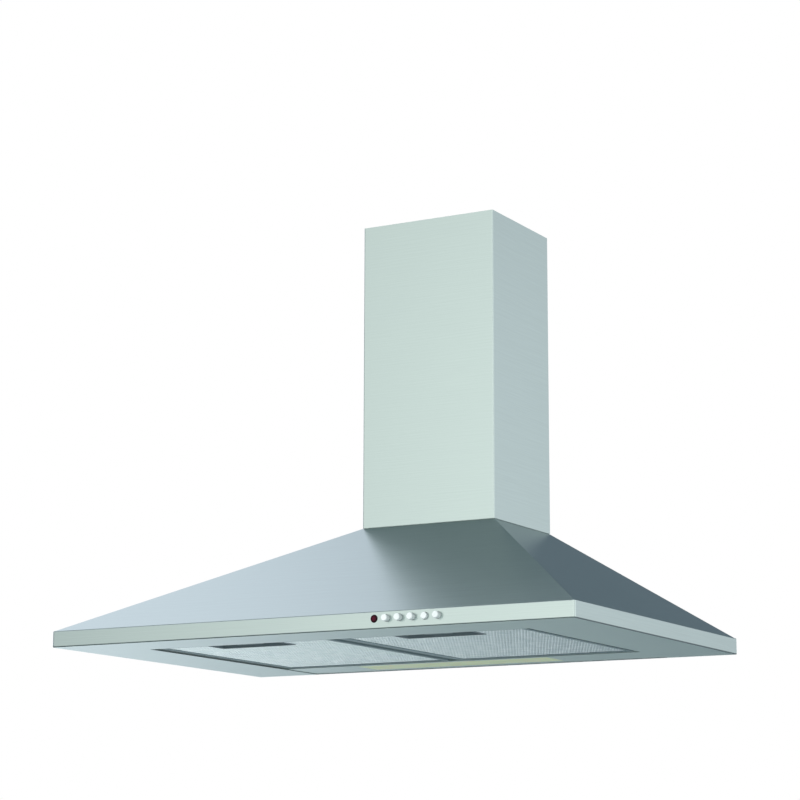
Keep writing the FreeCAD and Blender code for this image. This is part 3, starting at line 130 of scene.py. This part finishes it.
def brushedStainless():
    material, tree, shader = startMaterial("brushedStainless", Metallic=1, Anisotropic=brush["anisotropy"])
    place = addNode(tree, "ShaderNodeTexCoord")
    upright = addNode(tree, "ShaderNodeSeparateXYZ", {0: place.outputs["Normal"]}).outputs["Z"]
    steep = addNode(tree, "ShaderNodeMath", {0: upright}, operation="ABSOLUTE").outputs[0]
    inputs = {0: steep, 1: brush["levelFace"]}
    level = addNode(tree, "ShaderNodeMath", inputs, operation="GREATER_THAN").outputs[0]
    # lines are drawn about ten times too wide, because real ones are far finer than a pixel
    along, across = 1 / (brush["lengthMm"] * mm), 1 / (brush["lineMm"] * mm)
    inputs = {0: level, 4: (along, along, across), 5: (along, across, along)}
    scale = addNode(tree, "ShaderNodeMix", inputs, data_type="VECTOR").outputs[1]
    inputs = {0: place.outputs["Object"], 1: scale}
    stretched = addNode(tree, "ShaderNodeVectorMath", inputs, operation="MULTIPLY").outputs[0]
    lines = addNode(tree, "ShaderNodeTexNoise", {"Vector": stretched, "Scale": 1, "Detail": 3}).outputs["Fac"]
    steel = blendColours(tree, spread(tree, lines, 0, 1), brush["dark"], brush["light"])
    # painted shade: steep faces lower than 0.9 to 1.7 mm above the underside are darkened to a dull grey,
    # standing in for the dark reflection along the lower bends
    height = addNode(tree, "ShaderNodeSeparateXYZ", {0: place.outputs["Object"]}).outputs["Z"]
    low = spread(tree, height, 1, 0, *(size * mm for size in brush["paintedEdgeShadeMm"]))
    paintedEdgeShade = addNode(tree, "ShaderNodeMath", {0: low, 1: level}, operation="GREATER_THAN").outputs[0]
    share = addNode(tree, "ShaderNodeMath", {0: low, 1: paintedEdgeShade}, operation="MULTIPLY").outputs[0]
    inputs = {0: share, 6: steel, 7: linear(brush["paintedEdgeShade"])}
    colour = addNode(tree, "ShaderNodeMix", inputs, data_type="RGBA").outputs[2]
    tree.links.new(colour, shader.inputs["Base Color"])
    tree.links.new(spread(tree, lines, *brush["roughness"]), shader.inputs["Roughness"])
    # reflections smear across the lines: up the face, or towards the wall on a level face
    inputs = {0: level, 4: (0, 0, 1), 5: (0, 1, 0)}
    tangent = addNode(tree, "ShaderNodeMix", inputs, data_type="VECTOR").outputs[1]
    tree.links.new(tangent, shader.inputs["Tangent"])
    addBump(tree, shader, lines, brush["depthMm"])
    return material


# hot dip galvanised sheet: frosty zinc crystals a few millimetres across, each a little lighter or darker

galvanised = {"dark": "#8F979B", "light": "#B4BCBF", "spangleMm": 7, "roughness": (0.38, 0.55)}


def galvanisedSheet():
    material, tree, shader = startMaterial("galvanisedSheet", Metallic=1)
    place = addNode(tree, "ShaderNodeTexCoord").outputs["Object"]
    inputs = {"Vector": place, "Scale": 1 / (galvanised["spangleMm"] * mm)}
    crystal = addNode(tree, "ShaderNodeTexVoronoi", inputs).outputs["Color"]
    tone = addNode(tree, "ShaderNodeSeparateColor", {0: crystal}).outputs[0]
    colour = blendColours(tree, tone, galvanised["dark"], galvanised["light"])
    tree.links.new(colour, shader.inputs["Base Color"])
    tree.links.new(spread(tree, tone, *galvanised["roughness"], 0, 1), shader.inputs["Roughness"])
    return material


# aluminium of the filters: mill finish, rolled thin, pale and a little cloudy

filterMetal = {"dark": "#E6F0F0", "light": "#F7FCFC", "cloudMm": 14, "roughness": (0.3, 0.4)}


def millAluminium():
    material, tree, shader = startMaterial("millAluminium", Metallic=1)
    cloud = objectNoise(tree, [filterMetal["cloudMm"]] * 3)
    colour = blendColours(tree, spread(tree, cloud, 0, 1), filterMetal["dark"], filterMetal["light"])
    tree.links.new(colour, shader.inputs["Base Color"])
    tree.links.new(spread(tree, cloud, *filterMetal["roughness"]), shader.inputs["Roughness"])
    return material


# layered mesh behind the face of a filter: strands of several sheets seen through one another,
# a grey web whose hollows carry painted shade

webbing = {"dark": "#8C9A9B", "light": "#C6D2D3", "strandMm": 2.4, "strandShare": (0.02, 0.3),
           "metallic": 0.8, "roughness": 0.5, "depthMm": 0.5}


def layeredMesh():
    settings = {"Metallic": webbing["metallic"], "Roughness": webbing["roughness"]}
    material, tree, shader = startMaterial("layeredMesh", **settings)
    place = addNode(tree, "ShaderNodeTexCoord").outputs["Object"]
    inputs = {"Vector": place, "Scale": 1 / (webbing["strandMm"] * mm)}
    hollow = addNode(tree, "ShaderNodeTexVoronoi", inputs, feature="DISTANCE_TO_EDGE").outputs["Distance"]
    # painted shade: the hollows between the strands are darkened, standing in for the shade deeper among the
    # layers
    share = spread(tree, hollow, 1, 0, *webbing["strandShare"])
    tree.links.new(blendColours(tree, share, webbing["dark"], webbing["light"]), shader.inputs["Base Color"])
    addBump(tree, shader, share, webbing["depthMm"])
    return material


# moulded plastics: an even colour under a fine spark-eroded grain, which breaks up the shine

moulding = {"ior": 1.5, "cloudMm": 12, "unevenness": (-0.04, 0.06), "grainMm": 0.9, "depthMm": 0.02}


def mouldedPlastic(name, dark, light, roughness, coat=0.0):
    material, tree, shader = startMaterial(name, **{"IOR": moulding["ior"], "Coat Weight": coat})
    cloud = objectNoise(tree, [moulding["cloudMm"]] * 3)
    colour = blendColours(tree, spread(tree, cloud, 0, 1), dark, light)
    tree.links.new(colour, shader.inputs["Base Color"])
    span = [roughness + change for change in moulding["unevenness"]]
    tree.links.new(spread(tree, cloud, *span), shader.inputs["Roughness"])
    # the grain is drawn several times too coarse, because the real one doesn't show in a render
    addBump(tree, shader, objectNoise(tree, [moulding["grainMm"]] * 3), moulding["depthMm"])
    return material


# red polycarbonate lens of the pilot lamp: deep red in the middle, with a painted shade that darkens it to
# nearly black towards its rim its index is set below the real 1.58, which keeps its shine faint

pilot = {"edge": "#14040A", "middle": "#520A22", "roughness": 0.35, "ior": 1.25}


def redPolycarbonate():
    settings = {"IOR": pilot["ior"], "Roughness": pilot["roughness"]}
    material, tree, shader = startMaterial("redPolycarbonate", **settings)
    low, high = (np.array(corner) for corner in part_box("pilot_lens"))
    place = addNode(tree, "ShaderNodeTexCoord").outputs["Object"]
    inputs = {0: place, 1: (low + high) / 2}
    offset = addNode(tree, "ShaderNodeVectorMath", inputs, operation="SUBTRACT").outputs[0]
    level = addNode(tree, "ShaderNodeVectorMath", {0: offset, 1: (1, 0, 1)}, operation="MULTIPLY").outputs[0]
    reach = addNode(tree, "ShaderNodeVectorMath", {0: level}, operation="LENGTH").outputs["Value"]
    # painted shade: the colour darkens from the middle of the lens out to its rim
    share = spread(tree, reach, 1, 0, 0, (high[0] - low[0]) / 2)
    tree.links.new(blendColours(tree, share, pilot["edge"], pilot["middle"]), shader.inputs["Base Color"])
    return material


# opal polystyrene of the lamp cover: cream, cloudy, with a satin outside

lampCover = {"dark": "#DEE7B2", "light": "#ECF3C8", "cloudMm": (40, 12, 12), "grainMm": 2.2, "depthMm": 0.03,
             "ior": 1.55, "roughness": 0.32, "scatter": 0.25, "scatterMm": 2}


def opalPolystyrene():
    settings = {"IOR": lampCover["ior"], "Roughness": lampCover["roughness"],
                "Subsurface Weight": lampCover["scatter"], "Subsurface Scale": lampCover["scatterMm"] * mm}
    material, tree, shader = startMaterial("opalPolystyrene", **settings)
    cloud = objectNoise(tree, lampCover["cloudMm"])
    colour = blendColours(tree, spread(tree, cloud, 0, 1), lampCover["dark"], lampCover["light"])
    tree.links.new(colour, shader.inputs["Base Color"])
    addBump(tree, shader, objectNoise(tree, [lampCover["grainMm"]] * 3), lampCover["depthMm"])
    return material


# frosted lamp glass: etched inside, so light passes and blurs

lampGlass = {"dark": "#E6E6DF", "light": "#F7F7F2", "cloudMm": 9,
             "ior": 1.5, "roughness": 0.45, "passes": 0.6}


def frostedGlass():
    settings = {"IOR": lampGlass["ior"], "Roughness": lampGlass["roughness"],
                "Transmission Weight": lampGlass["passes"]}
    material, tree, shader = startMaterial("frostedGlass", **settings)
    cloud = objectNoise(tree, [lampGlass["cloudMm"]] * 3)
    colour = blendColours(tree, spread(tree, cloud, 0, 1), lampGlass["dark"], lampGlass["light"])
    tree.links.new(colour, shader.inputs["Base Color"])
    return material


# plain metals: turned, plated or enamelled steel, whose faint level tool marks vary its shine

plating = {"marksMm": (6, 6, 0.8), "unevenness": (-0.05, 0.07)}


def platedSteel(name, dark, light, roughness, metallic=1.0):
    material, tree, shader = startMaterial(name, Metallic=metallic)
    marks = objectNoise(tree, plating["marksMm"])
    tree.links.new(blendColours(tree, spread(tree, marks, 0, 1), dark, light), shader.inputs["Base Color"])
    span = [roughness + change for change in plating["unevenness"]]
    tree.links.new(spread(tree, marks, *span), shader.inputs["Roughness"])
    return material


finishes = {
    "brushed_stainless": brushedStainless(),
    "galvanised_steel": galvanisedSheet(),
    "grey_enamel": platedSteel("greyEnamel", "#6C7F82", "#788B8E", roughness=0.5, metallic=0.2),
    "filter_aluminium": millAluminium(),
    "filter_layers": layeredMesh(),
    "grip_plastic": mouldedPlastic("darkAbs", "#6C797C", "#778487", roughness=0.45),
    "latch_plastic": mouldedPlastic("greyAbs", "#8C9A9C", "#98A6A8", roughness=0.4),
    "housing_plastic": mouldedPlastic("blackPolypropylene", "#26292B", "#303335", roughness=0.5),
    "fan_plastic": mouldedPlastic("blackNylon", "#1B1D1F", "#232628", roughness=0.42),
    "pale_plastic": mouldedPlastic("whiteNylon", "#D9D8D0", "#E4E3DC", roughness=0.42),
    "button_plastic": mouldedPlastic("silverWhiteAbs", "#D8DFDD", "#E4E9E7", roughness=0.22, coat=0.6),
    "pilot_red": redPolycarbonate(),
    "lens_plastic": opalPolystyrene(),
    "lamp_glass": frostedGlass(),
    "motor_enamel": platedSteel("blackEnamel", "#1D1E20", "#27292B", roughness=0.4, metallic=0.3),
    "bright_steel": platedSteel("turnedSteel", "#B9BCC0", "#CFD2D5", roughness=0.25),
    "zinc_screws": platedSteel("zincPlate", "#AEB4B8", "#CCD2D5", roughness=0.3),
    "rubber_black": mouldedPlastic("blackRubber", "#17181A", "#1F2123", roughness=0.6),
}
for part in frame["record"]["subparts"]:
    mesh = nodes[part["node"]].data
    mesh.materials.clear()
    mesh.materials.append(finishes[part["material_slot"]])
print("materials:", len(finishes))


# face of a filter: expanded sheet, slit and pulled open into diamonds, whose strands stand a little askew

meshFace = {"shortMm": 4.0, "longMm": 8.1, "openShare": 0.5, "dishMm": 0.17, "thickMm": 0.3, "bandMm": 4.0}


def filterFace(side):
    node = "filter_mesh_" + side
    low, high = (np.array(corner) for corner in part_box(node))
    gripLow, gripHigh = (np.array(corner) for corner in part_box("filter_grip_" + side))
    half = np.array([meshFace["shortMm"], meshFace["longMm"]]) * mm / 2
    # diamond centres stand in two sets, the second half a step along both ways
    columns, rows = ((high[:2] - low[:2]) / half / 2).astype(int)
    x, y = np.meshgrid(np.arange(columns) + 0.5, np.arange(rows) + 0.5)
    first = np.stack([x, y], -1).reshape(-1, 2)
    middle = (low[:2] + high[:2]) / 2
    centres = middle + (np.concatenate([first, first + 0.5]) - np.array([columns, rows]) / 2) * half * 2
    inside = np.all((centres - half >= low[:2]) & (centres + half <= high[:2]), axis=1)
    band = meshFace["bandMm"] * mm
    besideGrip = ((centres[:, 0] > gripLow[0] - band) & (centres[:, 0] < gripHigh[0] + band)
                  & (centres[:, 1] < gripHigh[1] + band))
    centres = centres[inside & ~besideGrip]
    # each diamond is a ring of four strands: its outer corners, and inner corners dished up into the filter
    corners = np.array([[-1, 0], [0, -1], [1, 0], [0, 1]]) * half
    reach = np.array([1, meshFace["openShare"]])
    flat = centres[:, None, None, :] + corners * reach[:, None, None]
    height = low[2] + np.array([0, meshFace["dishMm"]]) * mm
    heights = np.broadcast_to(height[:, None, None], flat.shape[:3] + (1,))
    points = np.concatenate([flat, heights], -1).reshape(-1, 3)
    ring = np.arange(len(corners))
    turn = np.roll(ring, -1)
    strands = np.stack([turn, ring, ring + len(ring), turn + len(ring)], -1)
    starts = np.arange(len(centres)) * 2 * len(ring)
    faces = (starts[:, None, None] + strands).reshape(-1, 4)
    # neighbours share their outer corners, so points that agree to a hundredth of a millimetre become one
    rounded = np.round(points / mm, 2)
    firstUse, merged = np.unique(rounded, axis=0, return_index=True, return_inverse=True)[1:]
    points, faces = points[firstUse], merged.reshape(-1)[faces]
    # a plain band of sheet round the grip: a grid of four points by three, open where the grip is
    bandX, bandY = np.meshgrid([gripLow[0] - band, gripLow[0], gripHigh[0], gripHigh[0] + band],
                               [low[1], gripHigh[1], gripHigh[1] + band])
    bandPoints = np.stack([bandX, bandY, np.full_like(bandX, low[2])], -1).reshape(-1, 3)
    bandFaces = np.array([[1, 0, 4, 5], [3, 2, 6, 7], [5, 4, 8, 9], [6, 5, 9, 10], [7, 6, 10, 11]])
    faces = np.concatenate([faces, bandFaces + len(points)])
    piece = makePiece("filterFace_" + side, np.concatenate([points, bandPoints]), faces,
                      finishes["filter_aluminium"], "filter_" + side, node)
    sheet = piece.modifiers.new("sheetThickness", "SOLIDIFY")
    sheet.thickness = meshFace["thickMm"] * mm
    sheet.offset = -1
    print("filter face", side, len(centres), "diamonds")


# mesh layers behind the face: a thick mat, cut out round the grip, whose two sides roll in low waves

meshMat = {"stepMm": 2.5, "waveMm": 0.5, "waveLengthMm": (17, 23), "marginMm": 0.3}


def filterMat(side):
    node = "filter_pad_" + side
    low, high = (np.array(corner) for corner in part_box(node))
    gripLow, gripHigh = (np.array(corner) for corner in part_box("filter_grip_" + side))
    margin, step = meshMat["marginMm"] * mm, meshMat["stepMm"] * mm

    def gridLines(*stops):
        # lines no more than one step apart that pass through every stop
        spans = [np.linspace(a, b, int((b - a) / step) + 2)[:-1] for a, b in zip(stops, stops[1:])]
        return np.append(np.concatenate(spans), stops[-1])

    across = gridLines(low[0], gripLow[0] - margin, gripHigh[0] + margin, high[0])
    back = gridLines(low[1], gripHigh[1] + margin, high[1])
    x, y = np.meshgrid(across, back)
    # wave: a sine across the mat, whose phase sways with a second sine towards the wall
    phase = [2 * np.pi * place / (size * mm) for place, size in zip((x, y), meshMat["waveLengthMm"])]
    wave = meshMat["waveMm"] * mm * (1 + np.sin(phase[0] + np.sin(phase[1]))) / 2
    under = np.stack([x, y, low[2] + wave], -1).reshape(-1, 3)
    over = np.stack([x, y, high[2] - wave], -1).reshape(-1, 3)
    index = np.arange(x.size).reshape(x.shape)
    quads = np.stack([index[:-1, :-1], index[1:, :-1], index[1:, 1:], index[:-1, 1:]], -1).reshape(-1, 4)
    cellMiddle = under[quads].mean(1)
    notch = ((cellMiddle[:, 0] > gripLow[0] - margin) & (cellMiddle[:, 0] < gripHigh[0] + margin)
             & (cellMiddle[:, 1] < gripHigh[1] + margin))
    quads = quads[~notch]
    # the walls stand on the edges that only one cell has
    start, stop = quads.reshape(-1), np.roll(quads, -1, axis=1).reshape(-1)
    alone = ~np.isin(start * x.size + stop, stop * x.size + start)
    walls = np.stack([stop, start, start + x.size, stop + x.size], -1)[alone]
    faces = np.concatenate([quads, quads[:, ::-1] + x.size, walls])
    makePiece("filterMat_" + side, np.concatenate([under, over]), faces, finishes["filter_layers"],
              "filter_" + side, node)
    print("filter mat", side)


for side in ("left", "right"):
    filterFace(side)
    filterMat(side)


# studio: a dim room with soft panels, which light the part and show in its steel as light and dark areas,
# as they do in the photograph; rays from the camera, and those that pass through glass, see plain white
# a panel's heading is 0 towards the wall, 90 to the viewer's right, 180 to the front; all in degrees

studio = {
    "room": ("#CBE8FF", 0.2),
    "overhead": {"tint": "#EEF6FF", "level": 0.75, "low": 75, "fade": 10},
    "panels": [
        {"tint": "#FFFFFA", "level": 1.28, "heading": -180, "half": 36, "soft": 14,
         "low": -9, "high": 24, "fade": 8},
        {"tint": "#FAFCFF", "level": 0.8, "heading": 45, "half": 24, "soft": 14,
         "low": -70, "high": 22, "fade": 9},
        {"tint": "#F1F3FF", "level": 0.94, "heading": -62, "half": 26, "soft": 9,
         "low": -30, "high": 62, "fade": 12},
        {"tint": "#F4FFFA", "level": 1.58, "heading": -44, "half": 20, "soft": 8,
         "low": -64, "high": -26, "fade": 6},
        {"tint": "#FFFFFC", "level": 0.9, "heading": 98, "half": 36, "soft": 10,
         "low": -12, "high": 34, "fade": 10},
        {"tint": "#F2FAF8", "level": 1.0, "heading": 140, "half": 50, "soft": 20,
         "low": -80, "high": -22, "fade": 8},
    ],
}


def buildStudio():
    world = bpy.data.worlds.new("studio")
    world.use_nodes = True
    tree = world.node_tree
    tree.nodes.clear()
    ray = addNode(tree, "ShaderNodeTexCoord").outputs["Generated"]
    height = addNode(tree, "ShaderNodeSeparateXYZ", {0: ray}).outputs["Z"]
    level = addNode(tree, "ShaderNodeVectorMath", {0: ray, 1: (1, 1, 0)}, operation="MULTIPLY").outputs[0]
    heading = addNode(tree, "ShaderNodeVectorMath", {0: level}, operation="NORMALIZE").outputs[0]
    tint, strength = studio["room"]
    light = [channel * strength for channel in linear(tint)[:3]]

    def ramp(value, start, stop):
        # smooth step from 0 at start to 1 at stop
        inputs = {"Value": value, "From Min": start, "From Max": stop}
        return addNode(tree, "ShaderNodeMapRange", inputs, interpolation_type="SMOOTHSTEP").outputs["Result"]

    def times(first, second):
        return addNode(tree, "ShaderNodeMath", {0: first, 1: second}, operation="MULTIPLY").outputs[0]

    def addLight(light, lamp, share):
        glow = [channel * lamp["level"] for channel in linear(lamp["tint"])[:3]]
        inputs = {0: glow, 1: share, 2: light}
        return addNode(tree, "ShaderNodeVectorMath", inputs, operation="MULTIPLY_ADD").outputs[0]

    def fromLow(lamp):
        below, above = (math.sin(math.radians(lamp["low"] + sign * lamp["fade"])) for sign in (-1, 1))
        return ramp(height, below, above)

    light = addLight(light, studio["overhead"], fromLow(studio["overhead"]))
    for panel in studio["panels"]:
        turn = math.radians(panel["heading"])
        aim = (math.sin(turn), math.cos(turn), 0)
        inputs = {0: heading, 1: aim}
        dot = addNode(tree, "ShaderNodeVectorMath", inputs, operation="DOT_PRODUCT").outputs["Value"]
        outer, inner = (math.cos(math.radians(panel["half"] + sign * panel["soft"])) for sign in (1, -1))
        over, under = (math.sin(math.radians(panel["high"] + sign * panel["fade"])) for sign in (1, -1))
        share = times(ramp(dot, outer, inner), times(fromLow(panel), ramp(height, over, under)))
        light = addLight(light, panel, share)
    room = addNode(tree, "ShaderNodeBackground", {"Color": light, "Strength": 1})
    white = addNode(tree, "ShaderNodeBackground", {"Color": (1, 1, 1, 1), "Strength": 1})
    path = addNode(tree, "ShaderNodeLightPath").outputs
    inputs = {0: path["Is Camera Ray"], 1: path["Is Transmission Ray"]}
    seen = addNode(tree, "ShaderNodeMath", inputs, operation="MAXIMUM").outputs[0]
    mixed = addNode(tree, "ShaderNodeMixShader", {0: seen, 1: room.outputs[0], 2: white.outputs[0]})
    addNode(tree, "ShaderNodeOutputWorld", {"Surface": mixed.outputs[0]})
    bpy.context.scene.world = world


# one soft box up front, which lights the plastics and stays out of the steel's reflections

softBox = {"place": (-1.2, -2.2, 1.5), "aim": (0, -0.3, 0.1), "size": 1.0, "watts": 70}


def addSoftBox():
    lamp = bpy.data.lights.new("softBox", "AREA")
    lamp.size = softBox["size"]
    lamp.energy = softBox["watts"]
    holder = bpy.data.objects.new("softBox", lamp)
    holder.location = softBox["place"]
    sight = Vector(softBox["aim"]) - Vector(softBox["place"])
    holder.rotation_euler = sight.to_track_quat("-Z", "Y").to_euler()
    holder.visible_glossy = False
    bpy.context.scene.collection.objects.link(holder)


# pale floor far below the hood, open to a view from underneath; only the camera sees it

floor = {"drop": 1.6, "half": 6.0, "colour": "#F3F4F4", "lift": 0.45, "roughness": 0.8}


def addFloor():
    half, drop = floor["half"], floor["drop"]
    mesh = bpy.data.meshes.new("floor")
    corners = [(x, y, -drop) for x, y in ((-half, -half), (half, -half), (half, half), (-half, half))]
    mesh.from_pydata(corners, [], [(0, 1, 2, 3)])
    material, tree, shader = startMaterial("paleVinyl", Roughness=floor["roughness"])
    shader.inputs["Base Color"].default_value = linear(floor["colour"])
    shader.inputs["Emission Color"].default_value = linear(floor["colour"])
    shader.inputs["Emission Strength"].default_value = floor["lift"]
    under = addNode(tree, "ShaderNodeNewGeometry").outputs["Backfacing"]
    clear = addNode(tree, "ShaderNodeBsdfTransparent").outputs[0]
    sided = addNode(tree, "ShaderNodeMixShader", {0: under, 1: shader.outputs[0], 2: clear}).outputs[0]
    tree.links.new(sided, tree.nodes["Material Output"].inputs["Surface"])
    mesh.materials.append(material)
    plane = bpy.data.objects.new("floor", mesh)
    plane.visible_diffuse = plane.visible_glossy = plane.visible_transmission = plane.visible_shadow = False
    bpy.context.scene.collection.objects.link(plane)


buildStudio()
addSoftBox()
addFloor()
print("studio built")


# camera: the photograph's place and lens

view = {"place": (1.45544, -2.82578, -0.28853), "right": (0.87231, 0.488948, 0.002203),
        "up": (0.095371, -0.174563, 0.980016), "back": (0.479561, -0.854668, -0.198904),
        "lens": 108.855, "sensor": 36}
camera = bpy.data.objects.new("camera", bpy.data.cameras.new("camera"))
camera.data.lens = view["lens"]
camera.data.sensor_width = view["sensor"]
axes = Matrix([view["right"], view["up"], view["back"]]).transposed().to_4x4()
camera.matrix_world = Matrix.Translation(view["place"]) @ axes
bpy.context.scene.collection.objects.link(camera)
bpy.context.scene.camera = camera
bpy.context.scene.view_settings.view_transform = "Standard"
